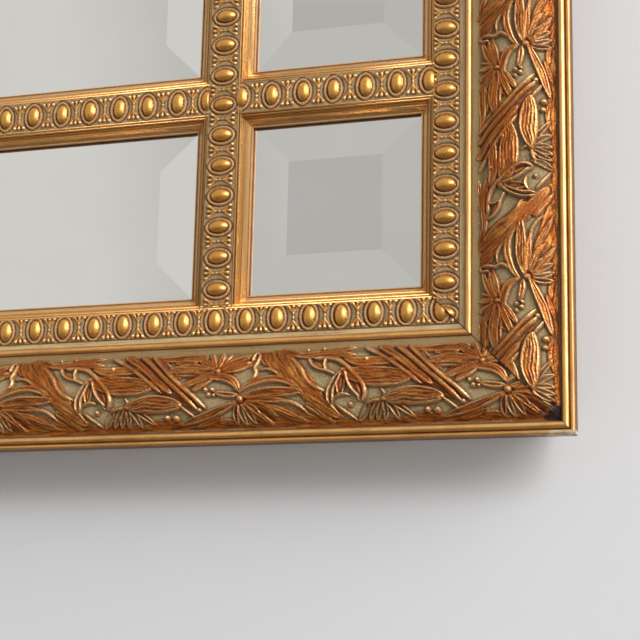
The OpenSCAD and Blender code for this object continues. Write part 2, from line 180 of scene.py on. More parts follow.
# form, ribs, half width, rise, base, points of the midline
LEAVES = (
    # strips along both edges of the band
    (RIBBON, 1, 1.5, 0.45, -1.35, ((-4, 8.9), (30, 9.3), (66, 8.7), (100, 9.3), (140, 8.9))),
    # broad leaves under the sweep and the stems
    (HORN, 5, 6.4, 0.5, -1.35, ((17, 49), (24, 39), (33, 29), (43, 18.5), (56, 9))),
    (HORN, 5, 8.0, 0.5, -1.05, ((72, 49), (83, 41), (93, 33.5), (103, 26), (114, 17))),
    (LENS, 4, 4.2, 0.5, -1.35, ((6, 20), (18, 15), (30, 11.5), (46, 9))),
    (LENS, 3, 2.8, 0.5, -1.35, ((-30, 32), (-20, 34.6), (-8, 35), (-2, 34.6))),
    # sweep from the inner edge down to the right
    (RIBBON, 3, 3.2, 0.8, -1.0,
     ((12.6, 47.5), (15.5, 42), (20, 36.8), (26, 31.6), (33, 26), (41, 19.6), (52, 11.4))),
    (RIBBON, 3, 3.0, 0.8, -0.9,
     ((19, 47.5), (23.4, 42.4), (28, 37), (31.6, 32), (36, 27.4), (43.6, 22))),
    (RIBBON, 1, 1.3, 0.8, -0.6,
     ((22.5, 45), (28, 40.2), (32.4, 35.4), (35, 30.6), (39, 26.8), (45.4, 24))),
    (HORN, 3, 2.8, 0.8, -1.0, ((33, 24), (39, 20.6), (45, 16.4), (53, 10.6))),
    (HORN, 3, 2.4, 0.8, -1.1, ((35, 19), (40, 15.6), (46, 11), (50, 8.6))),
    # leaves to the right of the star
    (LENS, 2, 2.0, 0.9, -0.8, ((-1, 25), (5, 29), (14, 31.4), (22, 31), (31, 27))),
    (LENS, 4, 2.8, 1.0, -0.8, ((1, 23), (12, 24.6), (22, 24.8), (34, 24.6))),
    (LENS, 2, 1.5, 0.8, -0.9, ((3, 21.6), (14, 21), (26, 20.4))),
    (LENS, 2, 1.7, 0.8, -0.9, ((2, 20.6), (9, 19), (14.5, 16.8), (19.8, 12.6))),
    (LENS, 3, 2.2, 0.8, -1.0, ((2, 19), (7.5, 15), (13.6, 11), (18, 9))),
    (LENS, 3, 1.9, 0.8, -1.0, ((11, 18.8), (20, 16.2), (28, 12.4), (36, 9.6))),
    (LENS, 2, 1.0, 0.9, -0.8, ((20, 20), (27, 19.6), (32, 17.2), (36, 13.6))),
    # petals under the star
    (PETAL, 1, 1.6, 0.9, -0.7, ((0.6, 20), (1, 15), (3.4, 8.8))),
    (PETAL, 1, 1.7, 0.9, -0.7, ((1.6, 20), (4.8, 15.6), (8.4, 9.4))),
    (PETAL, 1, 1.5, 0.9, -0.7, ((2.4, 20), (7.4, 17), (12.4, 12))),
    (CUP, 2, 1.7, 0.9, -0.8, ((-0.8, 20), (-2, 15), (-1.6, 9.2))),
    (LENS, 2, 1.5, 0.7, -1.1, ((-13, 10.8), (-6, 11.2), (0, 9.4))),
    (LENS, 2, 1.4, 0.8, -1.1, ((-9, 13.4), (-15, 11.4), (-24, 9))),
    # leaves to the left of the star
    (LENS, 3, 2.2, 1.0, -0.8, ((0.5, 21), (-9, 17.2), (-19, 13.8), (-33, 10))),
    (LENS, 2, 1.7, 0.9, -0.8, ((0, 23.8), (-6, 24.2), (-13.5, 25.6))),
    (LENS, 3, 2.4, 0.9, -0.8, ((0.6, 25), (-3, 30.6), (-9, 33.2), (-18, 34))),
    # radial flower
    (LENS, 2, 1.8, 0.9, -0.8, ((-11, 38), (-5, 41.8), (1, 43.6), (6.6, 45))),
    (LENS, 3, 2.0, 0.9, -0.8, ((-11, 37), (-4, 39.2), (5.8, 41.2))),
    (LENS, 2, 1.3, 0.9, -0.8, ((-11, 35.8), (-5, 36.6), (1, 37.8), (4.8, 39.4))),
    (LENS, 4, 2.9, 1.0, -0.7, ((-12.5, 36.8), (-19, 37.6), (-28, 39), (-40, 37.6))),
    (LENS, 1, 0.9, 0.8, -0.9, ((-14, 35.2), (-26, 35), (-38, 35.6))),
    (LENS, 3, 1.8, 0.9, -0.8, ((-13, 35.6), (-20, 33.2), (-28, 30.2), (-34, 28.4))),
    (LENS, 3, 1.9, 0.9, -0.8, ((-13, 34), (-19.5, 30.4), (-26, 26.4))),
    (LENS, 2, 1.7, 1.0, -0.7, ((-12.2, 37.5), (-11, 42), (-10.8, 47.6))),
    (LENS, 2, 2.1, 1.0, -0.8, ((-12.8, 37.5), (-15.4, 42), (-17.4, 47.4))),
    (LENS, 3, 2.2, 0.9, -0.8, ((-13.5, 37.4), (-19, 41.6), (-25, 46))),
    (LENS, 1, 0.9, 0.9, -0.8, ((-10.8, 38.5), (-7.6, 43), (-6, 46.4))),
    (HORN, 3, 2.6, 0.8, -0.9, ((-19, 45), (-30, 45.2), (-42, 44.8), (-54, 47))),
    (LENS, 2, 1.7, 0.8, -1.0, ((-22, 43.4), (-30, 42.6), (-37, 42.2))),
    # hook
    (LENS, 2, 2.2, 0.7, -1.1, ((9.6, 49), (11.2, 43), (15.4, 38))),
    (LENS, 2, 1.6, 0.6, -1.2, ((-5, 37.6), (1.6, 39), (7.6, 39.4))),
    (RIBBON, 1, 1.0, 0.9, -0.6,
     ((5.8, 41), (6, 44.4), (7.6, 46.2), (9, 44.4), (8.6, 41), (7.5, 38), (8.6, 35.4), (8, 33),
      (5.4, 30.6))),
    (LENS, 1, 0.8, 0.9, -0.7, ((9, 36.4), (13.5, 37), (18, 35.6), (22, 32))),
    # leaves along the inner edge
    (LENS, 2, 2.2, 0.8, -0.9, ((15, 48), (24, 46.2), (32, 44.2))),
    (LENS, 3, 2.3, 0.9, -0.8, ((26, 43.6), (36, 43.8), (48, 43.8), (60, 42.8))),
    (LENS, 2, 1.6, 0.9, -0.8, ((40, 46), (50, 46.4), (61, 47))),
    # arched stem and the stalk below it
    (RIBBON, 1, 1.2, 0.9, -0.4,
     ((38, 41.8), (46, 41.6), (51.5, 40), (56.5, 36), (61, 31.4), (64.6, 27), (65.6, 22.4),
      (64.2, 18.4))),
    (RIBBON, 1, 0.8, 1.0, -0.6, ((35.4, 42), (37.4, 38.6), (41, 36), (45.5, 34.8), (50.5, 32.4))),
    (LENS, 1, 1.3, 0.8, -0.9, ((37.6, 39.4), (41.4, 37.6), (45.6, 36.2))),
    (RIBBON, 1, 0.7, 1.1, -0.5, ((44.6, 41.4), (44.1, 38.4), (45.2, 35))),
    # hanging flower
    (RIBBON, 1, 0.7, 1.1, -0.5, ((53.4, 34.5), (49.6, 30.4), (46.9, 25), (46.4, 20.4), (47.6, 17.4))),
    (RIBBON, 1, 0.7, 1.1, -0.6, ((53.6, 33.5), (51.4, 29), (49.4, 24.4), (49, 20), (48.2, 17.4))),
    (CUP, 3, 2.4, 0.9, -0.8, ((54, 34.5), (53.2, 28), (52.6, 21.6))),
    (LENS, 1, 0.9, 0.9, -0.7, ((49.6, 20.8), (54, 22.6), (58.4, 21.8))),
    (CUP, 3, 3.3, 1.1, -0.7, ((54.6, 35.4), (59.4, 30.4), (62.4, 25), (63.6, 18.6))),
    (RIBBON, 1, 0.75, 1.1, -0.3, ((55.2, 34.4), (56.8, 28.8), (59, 24.8), (63.4, 20.2))),
    # frame of the diamond
    (LENS, 1, 0.9, 1.0, -0.8, ((50.4, 17.8), (55, 14.2), (61.4, 9.6))),
    (PETAL, 1, 1.9, 0.9, -0.8, ((67.4, 19.6), (65.6, 14.6), (61.6, 9))),
    # small star with its petals
    (LENS, 1, 1.1, 0.9, -0.8, ((74.4, 19.4), (70, 18.6), (65.6, 17.2))),
    (PETAL, 1, 1.6, 0.9, -0.7, ((74, 19.4), (69.8, 14.8), (67.2, 9))),
    (PETAL, 1, 1.6, 0.9, -0.7, ((74.5, 19.4), (72.5, 14.2), (71, 9))),
    (PETAL, 1, 1.5, 0.9, -0.7, ((75, 19.4), (75.8, 14), (75, 9))),
    (PETAL, 1, 1.7, 0.9, -0.7, ((75.6, 19.4), (79.8, 14.6), (82.4, 9.2))),
    (PETAL, 1, 1.5, 0.9, -0.7, ((76, 19.4), (83, 15.6), (91, 10))),
    (LENS, 1, 0.6, 1.0, -0.8, ((75, 20), (75.4, 22.4), (73.4, 25))),
    (LENS, 2, 1.4, 0.6, -1.2, ((82, 9.6), (92, 11.8), (101, 10.8), (110, 10))),
    # pod
    (LENS, 5, 4.7, 1.4, -0.6, ((74.6, 19.4), (90, 20.8), (105.6, 19.6))),
    # ribbed leaves over the pod
    (LENS, 6, 5.3, 1.1, -0.8, ((53, 33.6), (64, 31.6), (76, 30.4), (91, 30.4))),
    (LENS, 3, 2.7, 0.9, -0.8, ((53, 41.4), (62, 39), (71, 39), (82, 38.6))),
    (LENS, 1, 1.0, 0.8, -0.9, ((59, 37), (65, 36.8), (71, 37))),
    # diagonal stems
    (RIBBON, 1, 1.1, 0.9, -0.5,
     ((63, 47.5), (70, 43.4), (75.5, 40.2), (81, 36.4), (87, 31.8), (94.4, 26))),
    (RIBBON, 2, 2.0, 0.9, -0.5, ((71, 48), (79, 42.4), (86, 37.2), (92, 31.8), (100, 25.4))),
    (RIBBON, 1, 1.4, 1.0, -0.4, ((79, 48), (86, 42.4), (92, 37), (99, 30.6), (106, 24.6), (114, 17))),
    (RIBBON, 1, 1.3, 1.0, -0.4,
     ((86, 47.4), (92, 41.4), (98, 35.4), (104, 30), (111, 24.2), (118.4, 17.6))),
    (LENS, 1, 0.9, 1.0, -0.7, ((103.6, 20), (108, 16.6), (112.4, 13.4))),
    (LENS, 2, 1.6, 0.8, -1.0, ((92, 45), (97, 39.4), (104, 33))),
)
# place along and across, radius, rise
KNOBS = (
    (-12, 36.8, 1.7, 1.6), (0.4, 21.8, 2.0, 1.5), (75, 19.4, 1.5, 1.5), (54, 34.8, 1.7, 1.6),
    (58.2, 17.4, 1.3, 1.3), (96.8, 13.6, 1.6, 1.4), (101.6, 13.2, 1.9, 1.6),
    (-14.4, 27.2, 1.2, 1.3), (-16.4, 24.6, 1.3, 1.3), (-18.2, 27.2, 1.2, 1.2), (-13.6, 24.2, 1.0, 1.1),
    (42.6, 47, 1.4, 1.3), (34, 46.8, 1.1, 1.0), (114.6, 17, 1.4, 1.3), (65.4, 40.4, 1.3, 1.6),
)


def smooth_line(points):
    """A smooth line through the given points, by the cubic whose tangents join the neighbours."""
    p = np.array(points, float)
    dist = np.concatenate([[0], np.cumsum(np.hypot(*np.diff(p, axis=0).T))])
    t = np.linspace(0, dist[-1], max(12, int(dist[-1] / 0.6)))
    i = np.clip(np.searchsorted(dist, t, side="right") - 1, 0, len(p) - 2)
    f = ((t - dist[i]) / (dist[i + 1] - dist[i]))[:, None]
    q = np.vstack([2 * p[0] - p[1], p, 2 * p[-1] - p[-2]])
    a, b, c, d = q[i], q[i + 1], q[i + 2], q[i + 3]
    bend, twist = 2 * a - 5 * b + 4 * c - d, 3 * b - a - 3 * c + d
    return 0.5 * (2 * b + (c - a) * f + bend * f**2 + twist * f**3), dist[-1]


def leaf_tile():
    """Height of the leaf motif above the crown's arc, its fibres and its open places, in millimetres.

    Each leaf is a dome across its midline, its half width a function of the way along it, with as many
    wavering ribs as it has been given. Cups and petals are a raised rim round a sunk middle. At each
    point the highest leaf or knob wins. The fibres are the distance from that leaf's midline, the way
    along it and its number. Petals are open: their middle shows the ground's wash.
    """
    along = np.arange(0, MOTIF, TILE_STEP)
    across = np.arange(BAND_FROM, LEAF_TO + TILE_STEP / 2, TILE_STEP)
    grid_a, grid_b = np.meshgrid(along, across, indexing="ij")
    height = np.full(grid_a.shape, GROUND)
    fibre = np.stack([grid_b, grid_a, 0 * grid_a], -1)
    opened = 0 * grid_a
    for number, (form, ribs, half, rise, base, points) in enumerate(LEAVES):
        line, size = smooth_line(points)
        tangent = np.gradient(line, axis=0)
        tangent /= np.linalg.norm(tangent, axis=1)[:, None]
        for shift in (-MOTIF, 0, MOTIF):
            low = (line.min(0) - half + (shift, -BAND_FROM)) / TILE_STEP
            high = (line.max(0) + half + (shift, -BAND_FROM)) / TILE_STEP + 2
            a0, a1 = max(0, int(low[0])), min(len(along), int(high[0]))
            b0, b1 = max(0, int(low[1])), min(len(across), int(high[1]))
            if a0 >= a1 or b0 >= b1:
                continue
            da = grid_a[a0:a1, b0:b1, None] - shift - line[:, 0]
            db = grid_b[a0:a1, b0:b1, None] - line[:, 1]
            near = (da * da + db * db).argmin(-1)
            da = np.take_along_axis(da, near[..., None], -1)[..., 0]
            db = np.take_along_axis(db, near[..., None], -1)[..., 0]
            ta, tb = tangent[near, 0], tangent[near, 1]
            t = near / (len(line) - 1) + (da * ta + db * tb) / size
            way = np.clip(t, 0, 1)
            if form in (LENS, CUP, PETAL):
                width = half * (4 * way * (1 - way)) ** 0.6
            elif form == RIBBON:
                width = half * np.minimum(1, np.minimum(way / 0.06, (1 - way) / 0.12)) ** 0.5
            else:
                width = half * (1 - way**2.2) ** 0.8 * np.minimum(1, way / 0.1) ** 0.5
            q = (db * ta - da * tb) / np.maximum(width, 1e-6)
            q = np.where((t > -0.02) & (t < 1.02), q, 2)
            dome = (1 - np.minimum(q**2, 1)) ** 0.5
            waver = 0.13 * np.sin(way * size / 3.1 + 2.4 * number)
            waver += 0.04 * np.sin(way * size / 1.3 + number)
            wave = np.abs(np.sin(np.pi * ribs * (q + waver * (1 - np.minimum(q**2, 1)) + 1) / 2)) ** 0.6
            inside = (1 - np.abs(q)) * width
            rim = np.exp(-(((inside - 0.45) / 0.38) ** 2))
            if form in (CUP, PETAL):
                shape = 1.1 * rim - 0.3 + (0.4 * wave if form == CUP else 0)
            elif ribs > 1:
                uneven = 0.6 + 0.15 * np.sin(3.7 * q + number)
                shape = dome * 0.3 + wave * dome**0.3 * uneven + 0.15 * rim
            else:
                shape = dome
            leaf = base + rise * shape * np.minimum(1, width / min(half, 1.3))
            part = height[a0:a1, b0:b1]
            over = (np.abs(q) < 1) & (leaf > part)
            part[over] = leaf[over]
            fibre[a0:a1, b0:b1][over] = np.stack([q * width, way * size, 0 * q + number + 1], -1)[over]
            opened[a0:a1, b0:b1][over] = ((form == PETAL) & (inside > 0.95))[over]
    for a, b, radius, rise in KNOBS:
        for shift in (-MOTIF, 0, MOTIF):
            away = ((grid_a - a - shift) ** 2 + (grid_b - b) ** 2) / radius**2
            knob = GROUND + 0.6 + rise * np.sqrt(np.maximum(1 - away, 0))
            height = np.where(away < 1, np.maximum(height, knob), height)
    return height, fibre, opened


# What the gilded finish follows on a carved piece
FOLLOWED = ("hollow", "rubbed", "ground", "bright", "wood")


def wear(height, step, ground):
    """What the finish follows: how sunk, how proud and how open a stretch of ground each point is. How
    sunk darkens the hollows with dirt and with painted shade.
    """
    mean = blur(height, 0.8, step)
    # dirt and painted shade: the depth below the blurred surface darkens the hollows and the ground
    # beside the leaves
    low = np.clip((mean - height - 0.03) / 0.28, 0, 1)
    # wear and painted highlight: the height above the blurred surface pales the crests
    high = np.clip((height - mean - 0.12) / 0.4, 0, 1)
    bare = np.clip(1 - (height - ground) / 0.2, 0, 1)
    low = low * (1 - 0.5 * blur(bare, 0.3, step))
    wide = np.clip((blur(bare, 0.6, step) - 0.3) / 0.3, 0, 1)
    ground = blur(bare, 0.25, step) * wide
    return {"hollow": low, "rubbed": high, "ground": ground, "bright": 0 * height, "wood": 0 * height}


def side_place(side):
    """Gives the function that places a point on a side of the frame: along it from its middle, in from
    its outer edge, and above the back."""
    far = (HALF_H, HALF_W)[side % 2]

    def place(u, v, d):
        x, z = u, v - far
        x, z = ((x, z), (-z, x), (-x, -z), (z, -x))[side]
        return np.stack([x, BACK_Y - d, z], -1)

    return place


def bar_place(x0, z0, upright):
    """The same for a bar of the grid: along it, across it from its middle, and above the back."""

    def place(u, w, d):
        x, z = (x0 - w, z0 + u) if upright else (x0 + u, z0 + w)
        return np.stack([x, BACK_Y - d, z], -1)

    return place


def carved_bar(name, place, start, end, across, heights, rest, caps, count):
    """A closed bar with a carved face, a grid of stations along it by points across it, and long plain
    faces round its back.

    At each point across, the stations run evenly from start(across) to end(across), so that mitred ends
    stay on their planes. heights(along, across) gives the carved face and its attributes. rest has the
    plain part of the section, from the far edge of the face round the back to its near edge, as rows of
    across, above the back, curved or not, and the attributes. caps lists the loops that close an end.
    """
    rest = np.array(rest, float)
    s = np.linspace(0, 1, count)[:, None]
    v = np.broadcast_to(across, (count, len(across)))
    u = start(across) * (1 - s) + end(across) * s
    d, values = heights(u, v)
    face = place(u, v, d).reshape(-1, 3)
    twice = np.stack([rest, rest])
    ends = np.stack([start(rest[:, 0]), end(rest[:, 0])])
    others = place(ends, twice[..., 0], twice[..., 1]).reshape(-1, 3)
    n, k, r = len(face), len(across), len(rest)
    index = np.arange(n).reshape(count, k)
    quads = np.stack([index[:-1, :-1], index[1:, :-1], index[1:, 1:], index[:-1, 1:]], -1)
    quads = quads.reshape(-1, 4)
    first, last = np.arange(r) + n, np.arange(r) + n + r
    strips = np.stack([first[:-1], last[:-1], last[1:], first[1:]], -1)
    wide = [[*index[:, -1], last[0], first[0]], [first[-1], last[-1], *index[::-1, 0]]]
    for ring, turn in ((np.concatenate([index[0], first]), 1), (np.concatenate([index[-1], last]), -1)):
        wide += [ring[cap][::turn] for cap in caps(k, r)]
    mesh = bpy.data.meshes.new(name)
    faces = quads.tolist() + strips.tolist() + [[int(i) for i in f] for f in wide]
    mesh.from_pydata(np.vstack([face, others]), [], faces)
    smooth = np.zeros(len(faces), bool)
    smooth[: len(quads)] = True
    smooth[len(quads) : len(quads) + len(strips)] = (rest[:-1, 2] + rest[1:, 2]) > 1
    mesh.polygons.foreach_set("use_smooth", smooth)
    for i, key in enumerate(FOLLOWED):
        followed = np.concatenate([values[key].ravel(), twice[..., 3 + i].ravel()])
        data = mesh.attributes.new(key, "FLOAT", "POINT").data
        data.foreach_set("value", followed.astype(np.float32))
    straight = np.stack([twice[..., 0], ends, 0 * ends], -1) / MM
    fibre = np.concatenate([values["fibre"].ravel(), straight.ravel()])
    data = mesh.attributes.new("fibre", "FLOAT_VECTOR", "POINT").data
    data.foreach_set("vector", fibre.astype(np.float32))
    mesh.update()
    piece = bpy.data.objects.new(name, mesh)
    bpy.context.scene.collection.objects.link(piece)
    return piece


def whole_cap(k, r):
    """One loop closes the end."""
    return [np.arange(k + r)]


def add(tree, kind, links=(), **settings):
    """Adds a shader node with its settings. links gives each input a value, another node's output, or a
    node to take the first output of: in the order of the inputs, or by their names or numbers."""
    made = tree.nodes.new("ShaderNode" + kind)
    for key, value in settings.items():
        setattr(made, key, value)
    for key, value in links.items() if isinstance(links, dict) else enumerate(links):
        if isinstance(value, bpy.types.Node):
            value = value.outputs[0]
        if isinstance(value, bpy.types.NodeSocket):
            tree.links.new(value, made.inputs[key])
        else:
            made.inputs[key].default_value = value
    return made


def blank(name):
    """A new material and its empty tree."""
    made = bpy.data.materials.new(name)
    made.use_nodes = True
    made.node_tree.nodes.clear()
    return made, made.node_tree


def finished(made, look):
    """The material with a shader that has these inputs."""
    tree = made.node_tree
    add(tree, "OutputMaterial", {0: add(tree, "BsdfPrincipled", look)})
    return made


def coats(tree, base, *layers):
    """Colour built up as the gilder does. Each coat is laid over the last where a value rises from low
    to high, up to its strength. A colour is linear RGB or another node's output."""
    for value, low, high, strength, tint in layers:
        amount = add(tree, "MapRange", (value, low, high, 0, strength))
        ends = [c if isinstance(c, bpy.types.NodeSocket) else (*c, 1) for c in (base, tint)]
        # inputs 6 and 7 and output 2 are the colours
        base = add(tree, "Mix", {0: amount, 6: ends[0], 7: ends[1]}, data_type="RGBA").outputs[2]
    return base


def carved_gilding(c):
    """Composition ornament, oil gilded over bole, washed with sage and rubbed back: satin, with hollows
    darkened by dirt and painted shade, crests paled by wear and a painted highlight, and a chalky
    grey-green ground."""
    made, tree = blank("oil_gilded_composition")
    value = {k: add(tree, "Attribute", attribute_name=k).outputs["Fac"] for k in FOLLOWED}
    fibre = add(tree, "Attribute", attribute_name="fibre").outputs["Vector"]
    where = add(tree, "TexCoord").outputs["Object"]
    # clouds about 45 mm across, patches of 11 mm, specks of 0.9 mm, and streaks along each leaf that are
    # 1 mm wide and 8 mm long
    clouds = add(tree, "TexNoise", {"Vector": where, "Scale": 22, "Detail": 2})
    patches = add(tree, "TexNoise", {"Vector": where, "Scale": 90, "Detail": 4, "Roughness": 0.6})
    specks = add(tree, "TexNoise", {"Vector": where, "Scale": 1100, "Detail": 2})
    drawn = add(tree, "VectorMath", (fibre, (0.95, 0.12, 3.7)), operation="MULTIPLY")
    streaks = add(tree, "TexNoise", {"Vector": drawn, "Scale": 1, "Detail": 4, "Roughness": 0.65})
    gold = coats(
        tree,
        tuple(c.leaf),
        (clouds, 0.42, 0.62, 0.6, linear("#8c4413")),
        (patches, 0.45, 0.65, 0.6, linear("#c28a45")),
        (streaks, 0.47, 0.6, 0.85, linear("#5a2a0a")),
        (value["bright"], 0, 1, 0.75, tuple(c.bead)),
        # wear and painted highlight: the crests are paled
        (value["rubbed"], 0, 1, 0.6, tuple(c.rubbed)),
        # dirt and painted shade: the hollows darken to bole; joints and the corner's dirt go near black
        (value["hollow"], 0.05, 0.85, 1, tuple(c.bole)),
        (value["hollow"], 1, 1.6, 0.9, linear("#130b0a")),
    )
    wash = coats(
        tree,
        tuple(c.wash),
        (patches, 0.4, 0.65, 0.75, linear("#826c44")),
        (specks, 0.5, 0.7, 0.55, linear("#c9b791")),
        # painted shade and dirt: the wash darkens in the hollows beside the leaves
        (value["hollow"], 0.1, 0.8, 0.9, linear("#4a3413")),
    )
    # wood grain 1.4 mm wide and 80 mm long
    grain = add(tree, "VectorMath", (fibre, (0.7, 0.012, 0)), operation="MULTIPLY")
    grain = add(tree, "TexNoise", {"Vector": grain, "Scale": 1, "Detail": 4})
    bare = coats(tree, linear("#a98257"), (grain, 0.4, 0.62, 0.7, linear("#7d5b38")))
    base = coats(tree, gold, (value["ground"], 0, 1, 1, wash), (value["wood"], 0, 1, 1, bare))
    dull = add(tree, "Math", (value["ground"], value["wood"]), operation="MAXIMUM")
    dirt = add(tree, "MapRange", (value["hollow"], 0.1, 0.9, 0, 0.5))
    dull = add(tree, "Math", (dull, dirt), operation="MAXIMUM")
    metal = add(tree, "MapRange", (dull, 0, 0.6, 0.75, 0))
    uneven = add(tree, "Math", (streaks, specks), operation="ADD")
    rough = add(tree, "MapRange", (uneven, 0.7, 1.3, 0.22, 0.45))
    rough = add(tree, "MapRange", (dull, 0, 0.6, rough, 0.7))
    # the slopes are burnished
    rough = add(tree, "MapRange", (value["bright"], 1, 1.5, rough, 0.1))
    relief = add(tree, "MapRange", (value["bright"], 0.3, 1, 0.6, 0.12))
    bump = add(tree, "Bump", {"Height": uneven, "Strength": relief, "Distance": 0.0006})
    shellac = add(tree, "MapRange", (value["bright"], 0.5, 1, 0, 0.35))
    coat = {"Coat Weight": shellac, "Coat Roughness": 0.2}
    look = {"Base Color": base, "Metallic": metal, "Roughness": rough, "Normal": bump, **coat}
    return finished(made, look)


def moulding_gilding(c):
    """Water gilded wood: burnished beads, quirks darkened with painted shade, a sage wash in the flats,
    dark mitres, chipped outer corners, a toned outer side and bare wood at the back."""
    made, tree = blank("burnished_gold_leaf")
    where = add(tree, "TexCoord").outputs["Object"]
    axes = add(tree, "SeparateXYZ", {0: where}).outputs
    sides = []
    for axis, half in ((0, HALF_W), (2, HALF_H)):
        size = add(tree, "Math", {0: axes[axis]}, operation="ABSOLUTE")
        sides.append(add(tree, "Math", (half, size), operation="SUBTRACT"))
    across = add(tree, "Math", sides, operation="MINIMUM")
    along = add(tree, "Math", sides, operation="MAXIMUM")
    section = add(tree, "MapRange", (across, 0, 60 * MM, 0, 1))
    ramp = add(tree, "ValToRGB", {0: section})
    # millimetres from the outer edge, colour, how metallic; the dark stops in the quirks beside the
    # beads, at 2.4, 6.5, 50.4 and 53.7 mm, are painted shade
    stops = (
        (0.0, "#8d5f30", 0.4), (0.4, "#c08a48", 0.6), (2.1, "#d39f56", 0.8), (2.4, "#9a5c26", 0.5),
        (2.7, "#c0803a", 0.7), (3.0, "#dfad66", 0.8), (6.1, "#dba65c", 0.8), (6.5, "#a0622a", 0.5),
        (7.2, "#b87a3a", 0.6), (46.2, "#7c6840", 0.1), (47.5, "#9a8358", 0), (50.0, "#9a8358", 0),
        (50.4, "#7a4a1e", 0.5), (50.7, "#dca35a", 0.8), (53.3, "#dca35a", 0.8), (53.7, "#7a4418", 0.3),
        (54.4, "#c4aa76", 0), (57.0, "#e0c898", 0),
    )
    for i, (at, code, metal) in enumerate(stops):
        stop = ramp.color_ramp.elements[i] if i < 2 else ramp.color_ramp.elements.new(at / 60)
        stop.position, stop.color = at / 60, (*linear(code), metal)
    # streaks 1 mm wide and 22 mm long, patches of 18 mm, specks of 0.9 mm, chips of 3 mm
    place = add(tree, "CombineXYZ", (across, along, axes[0]))
    drawn = add(tree, "VectorMath", (place, (900, 45, 3)), operation="MULTIPLY")
    streaks = add(tree, "TexNoise", {"Vector": drawn, "Scale": 1, "Detail": 4, "Roughness": 0.65})
    patches = add(tree, "TexNoise", {"Vector": where, "Scale": 55, "Detail": 5, "Roughness": 0.7})
    specks = add(tree, "TexNoise", {"Vector": where, "Scale": 1100, "Detail": 2})
    chips = add(tree, "TexNoise", {"Vector": where, "Scale": 330, "Detail": 3})
    chips = add(tree, "MapRange", (chips, 0.42, 0.55, 0.2, 1))
    corner = add(tree, "MapRange", (sides[0], 6 * MM, 26 * MM, 1, 0))
    rim = add(tree, "MapRange", (sides[1], 1.2 * MM, 2.6 * MM, 1, 0))
    worn = add(tree, "Math", (corner, rim), operation="MULTIPLY")
    worn = add(tree, "Math", (worn, chips), operation="MULTIPLY")
    joint = add(tree, "Math", (along, across), operation="SUBTRACT")
    joint = add(tree, "MapRange", (joint, 0.15 * MM, 0.7 * MM, 0.9, 0))
    tight = add(tree, "MapRange", (across, 6 * MM, 9 * MM, 0.35, 1))
    joint = add(tree, "Math", (joint, tight), operation="MULTIPLY")
    # wood grain 1.4 mm wide and 80 mm long
    grain = add(tree, "VectorMath", (place, (700, 12, 2)), operation="MULTIPLY")
    grain = add(tree, "TexNoise", {"Vector": grain, "Scale": 1, "Detail": 4})
    wood = coats(tree, linear("#b08b5e"), (grain, 0.4, 0.62, 0.7, linear("#80603c")))
    at_back = add(tree, "MapRange", (axes[1], BACK_Y - 0.6 * MM, BACK_Y - 0.3 * MM))
    # below the fillet the canted outer side is only toned brown
    at_side = add(tree, "MapRange", (axes[1], BACK_Y - 30 * MM, BACK_Y - 29 * MM))
    outside = add(tree, "MapRange", (across, 13 * MM, 14 * MM, 1, 0))
    at_side = add(tree, "Math", (at_side, outside), operation="MULTIPLY")
    base = coats(
        tree,
        ramp.outputs[0],
        (patches, 0.45, 0.75, 0.4, linear("#8f5a22")),
        (streaks, 0.52, 0.74, 0.6, linear("#74431a")),
        (specks, 0.55, 0.75, 0.3, linear("#5a3a18")),
        (at_side, 0, 1, 0.9, linear("#6b4a2a")),
        (worn, 0, 1, 1, linear("#c9c2a6")),
        (joint, 0, 1, 1, linear("#2a1505")),
        (at_back, 0, 1, 1, wood),
    )
    dull = add(tree, "Math", (worn, at_back), operation="MAXIMUM")
    dull = add(tree, "Math", (dull, at_side), operation="MAXIMUM")
    metal = add(tree, "MapRange", (dull, 0, 1, ramp.outputs[1], 0))
    rough = add(tree, "MapRange", (streaks, 0.35, 0.7, 0.36, 0.55))
    rough = add(tree, "MapRange", (metal, 0, 0.4, 0.7, rough))
    shellac = add(tree, "MapRange", (metal, 0.3, 0.7, 0, 0.6))
    bump = add(tree, "Bump", {"Height": streaks, "Strength": 0.35, "Distance": 0.0003})
    coat = {"Coat Weight": shellac, "Coat Roughness": 0.2}
    look = {"Base Color": base, "Metallic": metal, "Roughness": rough, "Normal": bump, **coat}
    return finished(made, look)


def silvering(c):
    """Silvered plate glass: a clear, faintly grey mirror with a very slight unevenness."""
    made, tree = blank("silvered_plate_glass")
    where = add(tree, "TexCoord").outputs["Object"]
    # clouds in the film about 33 mm across
    film = add(tree, "TexNoise", {"Vector": where, "Scale": 30, "Detail": 3})
    base = coats(tree, tuple(c.glass), (film, 0.4, 0.7, 0.25, linear("#d5d6d2")))
    rough = add(tree, "MapRange", (film, 0.3, 0.7, 0.015, 0.035))
    return finished(made, {"Base Color": base, "Metallic": 1.0, "Roughness": rough})


def brown_sheet(name, light, dark, size, rough):
    """Brown sheet, hardboard or guard paper: dull, with fibres as long as its size in metres."""
    made, tree = blank(name)
    where = add(tree, "TexCoord").outputs["Object"]
    fibres = add(tree, "TexNoise", {"Vector": where, "Scale": 1 / size, "Detail": 5, "Distortion": 1.5})
    # clouds about 110 mm across
    cloud = add(tree, "TexNoise", {"Vector": where, "Scale": 9, "Detail": 3})
    shade = linear(dark)
    base = coats(tree, linear(light), (fibres, 0.42, 0.64, 0.8, shade), (cloud, 0.4, 0.7, 0.35, shade))
    bump = add(tree, "Bump", {"Height": fibres, "Strength": 0.3, "Distance": 0.0003})
    return finished(made, {"Base Color": base, "Roughness": rough, "Normal": bump})


